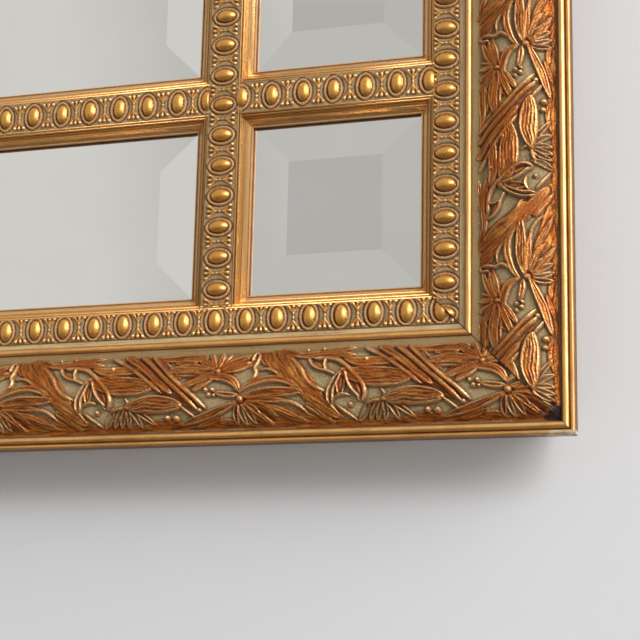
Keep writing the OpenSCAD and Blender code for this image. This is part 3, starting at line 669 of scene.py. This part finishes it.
def steel(name, light, dark, rough):
    """Steel sheet or wire, bright or plated: fine drawn scratches and a little tarnish."""
    made, tree = blank(name)
    where = add(tree, "TexCoord").outputs["Object"]
    # scratches 0.4 mm wide and 4 mm long, tarnish in spots of 4 mm
    drawn = add(tree, "VectorMath", (where, (2600, 2600, 240)), operation="MULTIPLY")
    scratches = add(tree, "TexNoise", {"Vector": drawn, "Scale": 1, "Detail": 2})
    tarnish = add(tree, "TexNoise", {"Vector": where, "Scale": 240, "Detail": 4, "Roughness": 0.7})
    base = coats(tree, linear(light), (tarnish, 0.45, 0.7, 0.7, linear(dark)))
    uneven = add(tree, "MapRange", (scratches, 0.3, 0.7, rough - 0.06, rough + 0.12))
    bump = add(tree, "Bump", {"Height": scratches, "Strength": 0.12, "Distance": 0.0001})
    return finished(made, {"Base Color": base, "Metallic": 1.0, "Roughness": uneven, "Normal": bump})


def bumper_rubber():
    """Grey rubber of the wall bumpers: dull, with a fine grain and dust."""
    made, tree = blank("grey_bumper_rubber")
    where = add(tree, "TexCoord").outputs["Object"]
    # grain of 0.7 mm
    grain = add(tree, "TexNoise", {"Vector": where, "Scale": 1500, "Detail": 3})
    base = coats(tree, linear("#55534f"), (grain, 0.5, 0.7, 0.6, linear("#77746e")))
    bump = add(tree, "Bump", {"Height": grain, "Strength": 0.3, "Distance": 0.0002})
    return finished(made, {"Base Color": base, "Roughness": 0.8, "Normal": bump})


def dress(piece, node):
    """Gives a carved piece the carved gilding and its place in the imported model."""
    made = bpy.data.materials.get("oil_gilded_composition")
    piece.data.materials.append(made or carved_gilding(bpy.context.scene.mirror_finish))
    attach(piece, "mirror")
    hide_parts(node)


def finish_cad(start, material, skip=""):
    """Gives the CAD nodes whose names start so a material in place of their plain one."""
    for name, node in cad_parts.items():
        if name.startswith(start) and name != skip:
            node.data.materials.clear()
            node.data.materials.append(material)


class MIRROR_OT_leaf_bands(bpy.types.Operator):
    """Carve the four lengths of leaf ornament, each in two pieces"""

    bl_idname = "mirror.leaf_bands"
    bl_label = "Leaf bands"

    def execute(self, context):
        c = context.scene.mirror_leaf
        near, edge = LEAF_LOW.z + HALF_H, LEAF_HIGH.z + HALF_H
        far = (LEAF_TO - 0.4) * MM
        crown = BACK_Y - LEAF_LOW.y
        half = (BAND_TO - BAND_FROM) * MM / 2
        radius = (half**2 + c.rise**2) / (2 * c.rise)
        middle = (BAND_FROM + BAND_TO) / 2 * MM
        tile, fibre, opened = leaf_tile()
        follow = wear(tile, TILE_STEP, GROUND)
        follow["ground"] = np.maximum(follow["ground"], blur(opened, 0.1, TILE_STEP))

        def arc_points(arc, start, end, points):
            """Sine and cosine on the crown's arc of this radius, at points that are even along it."""
            angle = np.linspace(*np.arcsin((np.array([start, end]) - middle) / arc), points)
            return np.sin(angle), np.cos(angle)

        # the face goes over the arc, about 45 mm long, and the underside comes back in 12 steps
        across = middle + radius * arc_points(radius, near, far, int(round(45 * MM / c.grid)) + 1)[0]
        under = radius - c.thickness
        sine, cosine = arc_points(under, far, near, 13)
        level = np.ones(13)
        rest = [middle + under * sine, crown - radius + under * cosine, level] + [0 * level] * 5
        rest = np.stack(rest, -1)
        for side, name in enumerate(SIDES):
            size = (HALF_W, HALF_H)[side % 2]
            repeat = (c.repeat_across, c.repeat_up)[side % 2]

            def heights(u, v):
                if side % 2 == 0:
                    a = (u - size + STAR_AT * MM) * MOTIF / repeat
                else:
                    a = SMALL_STAR + (u + size - SMALL_STAR_AT * MM) * MOTIF / repeat
                b = v / MM - BAND_FROM
                # past its edge the band runs level, below the wood's flat, and only leaves show
                arc = crown - radius + np.sqrt(radius**2 - (np.minimum(v, edge) - middle) ** 2)
                up = sample(tile, TILE_STEP, a, b) * MM * c.relief
                ease = np.clip((v - near) / (1.5 * MM), 0, 1)
                tip = LEAF_TO - 1.9 + 0.5 * np.sin(a / 2.7) + 0.4 * np.sin(a / 1.1)
                up -= np.clip(v / MM - tip, 0, 1) * 3 * MM + np.clip((v - edge) / MM, 0, 1) * 0.4 * MM
                values = {k: sample(g, TILE_STEP, a, b) for k, g in follow.items()}
                i, j = (a / TILE_STEP).astype(int) % len(fibre), (b / TILE_STEP).astype(int)
                values["fibre"] = fibre[i, j]
                # the joint at the corner is dark, and near the outer edge it is black with dirt
                joint = (size - v - np.abs(u)) / MM
                patch = 1.15 - np.hypot(joint / 7, (v / MM - 8) / 4)
                patch += 0.3 * np.sin(a / 0.9) * np.sin(b / 0.8)
                shade = np.clip(np.maximum(1 - joint / 0.8, patch * 3), 0, 2)
                values["hollow"] = np.maximum(values["hollow"], shade)
                values["ground"] = values["ground"] * (1 - np.clip(patch * 2, 0, 1))
                return arc + up * (0.4 + 0.6 * ease), values

            ends = (lambda v: v - size, lambda v: 0 * v, lambda v: size - v)
            count = int(round((size - near) / c.grid)) + 1
            for part in (0, 1):
                piece = carved_bar(
                    f"leaves_{name}_{part + 1}", side_place(side), ends[part], ends[part + 1],
                    across, heights, rest, whole_cap, count,
                )
                dress(piece, "leaf_band_" + name)
        return {"FINISHED"}


# The egg and dart in millimetres
EGG_TILE = 17.0  # length of one repeat
EGG_STEP = 0.1
EGG_HALF = 7.6  # half the width of the band that is carved
EGG_GROUND = -0.9  # the ground lies below the band's own level
EGG_AT = (83.4, 78.6)  # the middle of an egg from the corner, on the short and the long sides
BAR_EGG_AT = 81.6  # and on an upright muntin, from the foot of the frame
LEDGE = 5.7  # width of the ledge behind the sight edge that holds the glass


def round_top(away, half, rise):
    """Half an ellipse over the distance away from its middle."""
    return rise * np.sqrt(np.clip(1 - (away / half) ** 2, 0, 1))


def egg_tile():
    """Height of one repeat of the egg and dart above its band, with the egg in the middle.

    The egg is half an ellipsoid in a narrow gap, inside a rounded ring set a little to one side.
    Shoulders rise outside the ring. At the waist between two eggs stands a stem, which opens in three
    arms with knobs at their tips towards either edge.
    """
    along = np.arange(0, EGG_TILE, EGG_STEP) - EGG_TILE / 2
    across = np.arange(-EGG_HALF, EGG_HALF + EGG_STEP / 2, EGG_STEP)
    a, b = np.meshgrid(along, across, indexing="ij")
    waist = np.abs(a) - EGG_TILE / 2

    def out_of(rx, ry):
        """Distance out of the ellipse with these half axes."""
        way = np.maximum(np.hypot((a + 0.35) / rx, b / ry), 1e-6)
        return (way - 1) * np.hypot(a + 0.35, b) / way

    off_ring, off_groove = out_of(4.5, 6.6), out_of(5.5, 7.6)
    egg = 3.4 * np.sqrt(np.clip(1 - (a / 3.5) ** 2 - (b / 5.55) ** 2, 0, 1))
    ring = round_top(off_ring, 0.9, 1.5)
    groove = np.clip(1 - np.abs(off_groove) / 0.4, 0, 1)
    shoulder = 0.95 * np.clip(off_groove / 0.7, 0, 1)
    darts = round_top(waist, 0.6, 1.7) * (np.abs(b) < 3)
    opening = np.clip((np.abs(b) - 2.2) / 3.6, 0, 1)
    for lean in (-2.7, 0, 2.7):
        arm = round_top(waist - lean * opening**0.9, 0.9, 1.7) * (opening > 0) * (np.abs(b) < 6.2)
        knob = round_top(np.hypot((waist - lean) / 1.15, (np.abs(b) - 5.9) / 1.35), 1, 2.2)
        darts = np.maximum.reduce([darts, arm, knob])
    for at in (0.0, 2.1):
        knob = round_top(np.hypot(waist / 0.95, (np.abs(b) - at) / 0.75), 1, 2.0)
        darts = np.maximum(darts, knob)
    tall = np.maximum.reduce([egg, ring, shoulder, darts])
    height = tall + EGG_GROUND
    follow = wear(height, EGG_STEP, EGG_GROUND)
    on_egg = (egg >= tall) & (egg > 0)
    on_ring = (ring >= tall) & (ring > 0)
    on_dart = (darts >= tall) & (darts > 0)
    on_shoulder = (shoulder >= tall) & (shoulder > 0.2)
    gap = (tall < 0.6) & (off_ring < 0)
    # painted shade: the groove round the ring, the narrow gap inside it and the low sides of the egg are
    # darkened
    dark = np.maximum(groove, 1.0 * gap) * (1 - on_dart)
    dark = np.maximum(dark, np.where(on_egg, np.clip((1.5 - egg) / 1.2, 0, 1), 0))
    dark = np.maximum(follow["hollow"] * (1 - 0.5 * on_ring), blur(dark, 0.12, EGG_STEP))
    edge = np.clip((EGG_HALF - np.abs(b)) / 0.3, 0, 1)
    wash = blur(0.85 * on_shoulder + 0.45 * on_ring * (ring > 1.0), 0.15, EGG_STEP)
    follow["bright"] = blur(1.0 * on_egg + 0.35 * on_ring + 0.7 * on_dart, 0.15, EGG_STEP)
    follow["hollow"] = np.clip(dark, 0, 1)
    follow["ground"] = np.maximum(wash, 0.9 * (1 - edge))
    return height * edge, follow


def slope_section(c):
    """The slope from the egg band to the glass, as rows of distance from the sight edge, height above
    the back, curved or not, and the attributes.

    It has two thin beads, half circles with a groove below each, a small slant, a wide strip that bulges
    by a sine, and the lip along the sight edge.
    """
    top, foot = c.band_depth, c.sight_depth + c.edge_t
    radius = c.line_d / 2
    rows = []
    # each bead's top is paled as worn gold, partly a painted highlight; the groove under it is darkened
    # with painted shade
    for middle, drop in ((c.slope - radius - 0.1 * MM, 0), (c.slope - 3 * radius - 0.4 * MM, 0.3 * MM)):
        for t in np.linspace(0, math.pi, 9):
            rise = top - drop + radius * math.sin(t)
            rows.append((middle + radius * math.cos(t), rise, 1, 0, 0.6, 0, 0.9, 0))
        rows.append((middle - radius - 0.1 * MM, top - drop - 0.5 * MM, 0, 1, 0, 0, 0, 0))
    start = c.slope - 4 * radius - 0.7 * MM
    for t in np.linspace(0, 1, 5):
        drop = 0.9 * MM + 1.4 * MM * t
        rows.append((start - 1.2 * MM * t, top - drop, 1, 0.1, 0.3, 0, 0.9, 0))
    strip = start - 1.3 * MM - c.edge_w
    drop = top - 2.2 * MM - foot
    # the wide strip is paled as worn gold, partly a painted highlight
    for t in np.linspace(0, 1, 9):
        rise = foot + drop * (1 - t) + 0.3 * MM * math.sin(math.pi * t)
        rows.append((c.edge_w + strip * (1 - t), rise, 1, 0, 1, 0, 1.4, 0))
    # painted shade darkens the foot of the lip and the underside of the sight edge; the lip's top is
    # paled, partly a painted highlight
    rows += [
        (c.edge_w * 0.9, foot - 0.4 * MM, 0, 1, 0, 0, 0, 0),
        (c.edge_w * 0.75, foot, 0, 0, 0.8, 0, 0.5, 0),
        (c.edge_w * 0.25, foot, 1, 0, 0.8, 0.3, 0.5, 0),
        (0.0, foot - 0.3 * MM, 1, 0, 0.8, 0.3, 0.5, 0),
        (0.0, c.sight_depth, 0, 0.9, 0, 0, 0, 0),
    ]
    return rows


def plain(across, depth):
    """A corner of a section that is bare wood."""
    return (across, depth, 0, 0, 0, 0, 0, 1)


def egg_heights(c, tile, follow, repeats, across, fade):
    """The carved face of an egg band and what its finish follows, a little uneven as pressed ornament
    is, by the number of repeats along the band and the millimetres across it."""
    along = repeats * EGG_TILE + EGG_TILE / 2
    along, across = along + 0.22 * np.sin(along / 6.1), across + 0.18 * np.sin(along / 4.3 + 1)
    values = {k: sample(g, EGG_STEP, along, across) for k, g in follow.items()}
    values["fibre"] = np.stack([across, along, 0 * along], -1)
    return c.band_depth + sample(tile, EGG_STEP, along, across) * MM * fade, values


class MIRROR_OT_liners(bpy.types.Operator):
    """Carve the four lengths of the egg and dart liner"""

    bl_idname = "mirror.liners"
    bl_label = "Liners"

    def execute(self, context):
        c = context.scene.mirror_egg
        tile, follow = egg_tile()
        near, far = LINER_LOW.z + HALF_H, LINER_HIGH.z + HALF_H
        band = RAIL_HIGH.z + HALF_H + 0.1 * MM
        foot = far - LEDGE * MM
        middle = band + 7.35 * MM  # of the eggs
        across = np.linspace(band, far - c.slope, int(round(13 * MM / c.grid)) + 1)
        rest = [(far - a, *row) for a, *row in slope_section(c)]
        tongue = 19.9 * MM  # height of the part that reaches under the rail
        rest += [plain(foot, c.sight_depth), plain(foot, 0), plain(near, 0)]
        rest += [plain(near, tongue), plain(band, tongue)]
        for side, name in enumerate(SIDES):
            size = (HALF_W, HALF_H)[side % 2]
            pitch = (c.pitch_across, c.pitch_up)[side % 2]
            first = (size - EGG_AT[0] * MM, EGG_AT[1] * MM - size)[side % 2]

            def heights(u, v):
                fade = np.clip(np.minimum(v - band, far - c.slope - v) / (0.3 * MM), 0, 1)
                b = (v - middle) / MM + EGG_HALF
                d, values = egg_heights(c, tile, follow, (u - first) / pitch, b, fade)
                joint = (size - v - np.abs(u)) / MM
                values["hollow"] = np.maximum(values["hollow"], np.clip(1 - joint / 0.8, 0, 1))
                return d, values

            count = int(round(2 * (size - band) / c.grid)) + 1
            piece = carved_bar(
                "liner_eggs_" + name, side_place(side), lambda v: v - size, lambda v: size - v,
                across, heights, rest, whole_cap, count,
            )
            dress(piece, "liner_" + name)
        return {"FINISHED"}


class MIRROR_OT_muntins(bpy.types.Operator):
    """Carve the bars of the grid"""

    bl_idname = "mirror.muntins"
    bl_label = "Muntins"

    def execute(self, context):
        c = context.scene.mirror_egg
        tile, follow = egg_tile()
        half = (MUNTIN_HIGH.x - MUNTIN_LOW.x) / 2
        rib = half - LEDGE * MM
        back = BACK_Y - MUNTIN_HIGH.y
        inner = half - c.slope
        across = np.linspace(-inner, inner, int(round(2 * inner / c.grid)) + 1)
        slope = slope_section(c)
        # down the right slope and the rib to the back, and up again on the left
        rest = [(half - a, *row) for a, *row in slope]
        rest += [plain(rib, c.sight_depth), plain(rib, back), plain(inner, back)]
        turn = len(rest)
        rest += [plain(-inner, back), plain(-rib, back), plain(-rib, c.sight_depth)]
        rest += [(a - half, *row) for a, *row in slope[::-1]]

        def caps(k, r):
            """Three loops close the end: each slope, and the middle between them."""
            return [
                np.concatenate([[k - 1], k + np.arange(turn)]),
                np.concatenate([np.arange(k), [k + turn - 1, k + turn]]),
                np.concatenate([k + np.arange(turn, r), [0]]),
            ]

        for node in sorted(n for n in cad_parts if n.startswith("muntin_")):
            low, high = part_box(node)
            upright = high.z - low.z > high.x - low.x
            x0, z0 = (low.x + high.x) / 2, (low.z + high.z) / 2
            size = (high.z - low.z if upright else high.x - low.x) / 2
            pitch = c.pitch_up if upright else c.pitch_across
            first = -HALF_H + BAR_EGG_AT * MM if upright else 0

            def heights(u, w):
                fade = np.clip((inner - np.abs(w)) / (0.5 * MM), 0, 1)
                return egg_heights(c, tile, follow, (u - first) / pitch, w / MM + EGG_HALF, fade)

            def end(w):
                return size - np.clip(np.abs(w) - inner, 0, c.slope)

            piece = carved_bar(
                node.replace("muntin_", "bar_eggs_"), bar_place(x0, z0, upright),
                lambda w: -end(w), end, across, heights, rest, caps, int(round(2 * size / c.grid)) + 1,
            )
            dress(piece, node)
        return {"FINISHED"}


class MIRROR_OT_finish(bpy.types.Operator):
    """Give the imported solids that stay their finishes"""

    bl_idname = "mirror.finish"
    bl_label = "Finishes"

    def execute(self, context):
        c = context.scene.mirror_finish
        finish_cad("rail_", moulding_gilding(c))
        finish_cad("pane_", silvering(c))
        paper = brown_sheet("kraft_guard_paper", "#b08a5c", "#94704a", 4 * MM, 0.75)
        board = brown_sheet("tempered_hardboard", "#7a5234", "#58371f", 2.5 * MM, 0.6)
        finish_cad("guard_sheet", paper)
        finish_cad("backing_board", board)
        bright = steel("bright_steel", "#b9bab8", "#8b8a86", 0.3)
        for name in ("framer_points", "mitre_nails", "hanger_screws"):
            finish_cad(name, bright)
        finish_cad("hanger_", steel("zinc_plated_steel", "#c3c4be", "#96958c", 0.36), "hanger_screws")
        finish_cad("wall_bumpers", bumper_rubber())
        return {"FINISHED"}


def set_sheets(c):
    """The wall and the floor: plain sheets of chalky paint, which has no shine."""
    # both are clear from behind; the wall stays clear for light that has come through it to a camera
    # behind, and the floor is clear to reflections, which show the dim room below
    low = -0.9
    sheets = (
        ("wall", c.wall, "Transparent Depth", ((-5, 0, low), (5, 0, low), (5, 0, 4), (-5, 0, 4))),
        ("floor", c.floor, "Is Glossy Ray", ((-8, -8, low), (8, -8, low), (8, 8, low), (-8, 8, low))),
    )
    for name, tint, passing, corners in sheets:
        made, tree = blank("painted_" + name)
        look = {"Base Color": (*tint, 1), "Roughness": 0.9, "Specular IOR Level": 0}
        paint = add(tree, "BsdfPrincipled", look)
        clear = add(tree, "BsdfTransparent")
        behind = add(tree, "NewGeometry").outputs["Backfacing"]
        passing = add(tree, "LightPath").outputs[passing]
        hidden = add(tree, "Math", (behind, passing), operation="MAXIMUM")
        add(tree, "OutputMaterial", {0: add(tree, "MixShader", (hidden, paint, clear))})
        mesh = bpy.data.meshes.new(name)
        mesh.from_pydata(corners, [], [(0, 1, 2, 3)])
        mesh.materials.append(made)
        sheet = bpy.data.objects.new(name, mesh)
        bpy.context.scene.collection.objects.link(sheet)


def set_world(c):
    """The studio round the mirror: what it mirrors, what lights it and what the camera sees."""
    world = bpy.data.worlds.new("studio")
    bpy.context.scene.world = world
    world.use_nodes = True
    tree = world.node_tree
    tree.nodes.clear()
    path = add(tree, "LightPath").outputs
    # mirror and gilding see a pale room, dark below; from left to right it has soft bands, whose dim
    # parts show at one height only
    ray = add(tree, "SeparateXYZ", {0: add(tree, "TexCoord").outputs["Generated"]}).outputs
    turn = add(tree, "MapRange", (ray[0], -1, 1))
    room = add(tree, "ValToRGB", {0: turn})
    stops = (
        (-1.0, 0.85), (-0.75, 0.75), (-0.6, 0.64), (-0.54, 0.68), (-0.48, 0.84), (-0.42, 0.84),
        (-0.38, 0.74), (-0.33, 0.59), (-0.25, 0.59), (-0.19, 0.82), (-0.1, 0.84), (-0.04, 0.64),
        (0.1, 0.66), (0.25, 1.0),
    )
    for i, (x, strength) in enumerate(stops):
        at = (x + 1) / 2
        stop = room.color_ramp.elements[i] if i < 2 else room.color_ramp.elements.new(at)
        stop.position, stop.color = at, (strength, strength, strength, 1)
    level = add(tree, "Math", (ray[2], 0.29), operation="SUBTRACT")
    level = add(tree, "Math", {0: level}, operation="ABSOLUTE")
    level = add(tree, "MapRange", (level, 0.06, 0.12, 0, 0.68))
    room = add(tree, "Math", (room, level), operation="MAXIMUM")
    below = add(tree, "MapRange", (ray[2], -0.6, 0, 0.1, 1))
    room = add(tree, "Math", (room, below), operation="MULTIPLY")
    # a window high on the right
    window = add(tree, "MapRange", (ray[2], 0.05, 0.2, 1, 7))
    beside = add(tree, "MapRange", (ray[0], 0.25, 0.85, 1, window))
    room = add(tree, "Math", (room, beside), operation="MULTIPLY")
    mirrored = add(tree, "Background", ((1, 0.985, 0.96, 1), room))
    dim, strong = 0.5 * c.ambient, 1.5 * c.ambient
    above = add(tree, "MapRange", (ray[2], -0.5, 0.5, dim, strong))
    # the wall keeps the light from behind off the front, so its gain is for the mirror's back alone
    behind = add(tree, "MapRange", (ray[1], 0.1, 0.6, 1, 3))
    above = add(tree, "Math", (above, behind), operation="MULTIPLY")
    lit = add(tree, "Background", ((1, 0.985, 0.985, 1), above))
    seen = add(tree, "Background", ((0.86, 0.855, 0.84, 1), 1.0))
    glossy = add(tree, "MixShader", (path["Is Diffuse Ray"], mirrored, lit))
    add(tree, "OutputWorld", {0: add(tree, "MixShader", (path["Is Camera Ray"], glossy, seen))})


def set_lamps(c):
    """A large soft key lamp and a lower one like a window, both on the right."""
    lamps = (
        ("key", (2.0, -2.1, 0.78), 0.9, c.key, (1.0, 0.985, 0.965)),
        ("window", (2.25, -1.3, 0.35), 1.2, c.window, (1.0, 0.98, 0.95)),
    )
    aim = Vector((0.2, 0, -0.3))
    for name, at, size, power, tint in lamps:
        data = bpy.data.lights.new(name, "AREA")
        data.shape, data.size, data.energy, data.color = "DISK", size, power, tint
        lamp = bpy.data.objects.new(name, data)
        lamp.location = at
        lamp.rotation_euler = (Vector(at) - aim).to_track_quat("Z", "Y").to_euler()
        bpy.context.scene.collection.objects.link(lamp)


def set_camera(c):
    """The camera at the photograph's place and angle."""
    data = bpy.data.cameras.new("photo_view")
    data.lens, data.sensor_width = c.lens, 36
    data.clip_start, data.clip_end = 0.05, 50
    camera = bpy.data.objects.new("photo_view", data)
    # the camera looks to the left and up, and leans a little
    turn = Matrix.Identity(4)
    for axis, degrees in (("Z", 17.819), ("X", 90 + 13.173), ("Z", 1.255)):
        turn @= Matrix.Rotation(math.radians(degrees), 4, axis)
    corner = Vector((HALF_W, RAIL_LOW.y, -HALF_H))
    camera.matrix_world = Matrix.Translation(corner + Vector((0.1254, -0.7845, -0.1321))) @ turn
    bpy.context.scene.collection.objects.link(camera)
    bpy.context.scene.camera = camera


class MIRROR_OT_stage(bpy.types.Operator):
    """Set the wall, the floor, the lamps and the camera"""

    bl_idname = "mirror.stage"
    bl_label = "Stage"

    def execute(self, context):
        for part in (set_sheets, set_world, set_lamps, set_camera):
            part(context.scene.mirror_stage)
        context.scene.view_settings.view_transform = "Standard"
        return {"FINISHED"}


class MIRROR_PT_panel(bpy.types.Panel):
    """Lists the steps that dress the mirror"""

    bl_label = "Mirror"
    bl_idname = "MIRROR_PT_panel"
    bl_space_type = "VIEW_3D"
    bl_region_type = "UI"
    bl_category = "Mirror"

    def draw(self, context):
        for step in STEPS:
            self.layout.operator(step.bl_idname)
        for group in GROUPS:
            box = self.layout.box()
            box.label(text=group)
            for key in GROUPS[group].__annotations__:
                box.prop(getattr(context.scene, group), key)


GROUPS = {
    "mirror_leaf": LeafSettings,
    "mirror_egg": EggSettings,
    "mirror_finish": FinishSettings,
    "mirror_stage": StageSettings,
}
STEPS = (MIRROR_OT_stage, MIRROR_OT_leaf_bands, MIRROR_OT_liners, MIRROR_OT_muntins, MIRROR_OT_finish)
CLASSES = (*GROUPS.values(), *STEPS, MIRROR_PT_panel)


def register():
    for item in CLASSES:
        bpy.utils.register_class(item)
    for name, group in GROUPS.items():
        setattr(bpy.types.Scene, name, PointerProperty(type=group))


def unregister():
    for name in GROUPS:
        delattr(bpy.types.Scene, name)
    for item in reversed(CLASSES):
        bpy.utils.unregister_class(item)


def main():
    register()
    for step in STEPS:
        group, name = step.bl_idname.split(".")
        getattr(getattr(bpy.ops, group), name)()


if __name__ == "__main__":
    main()
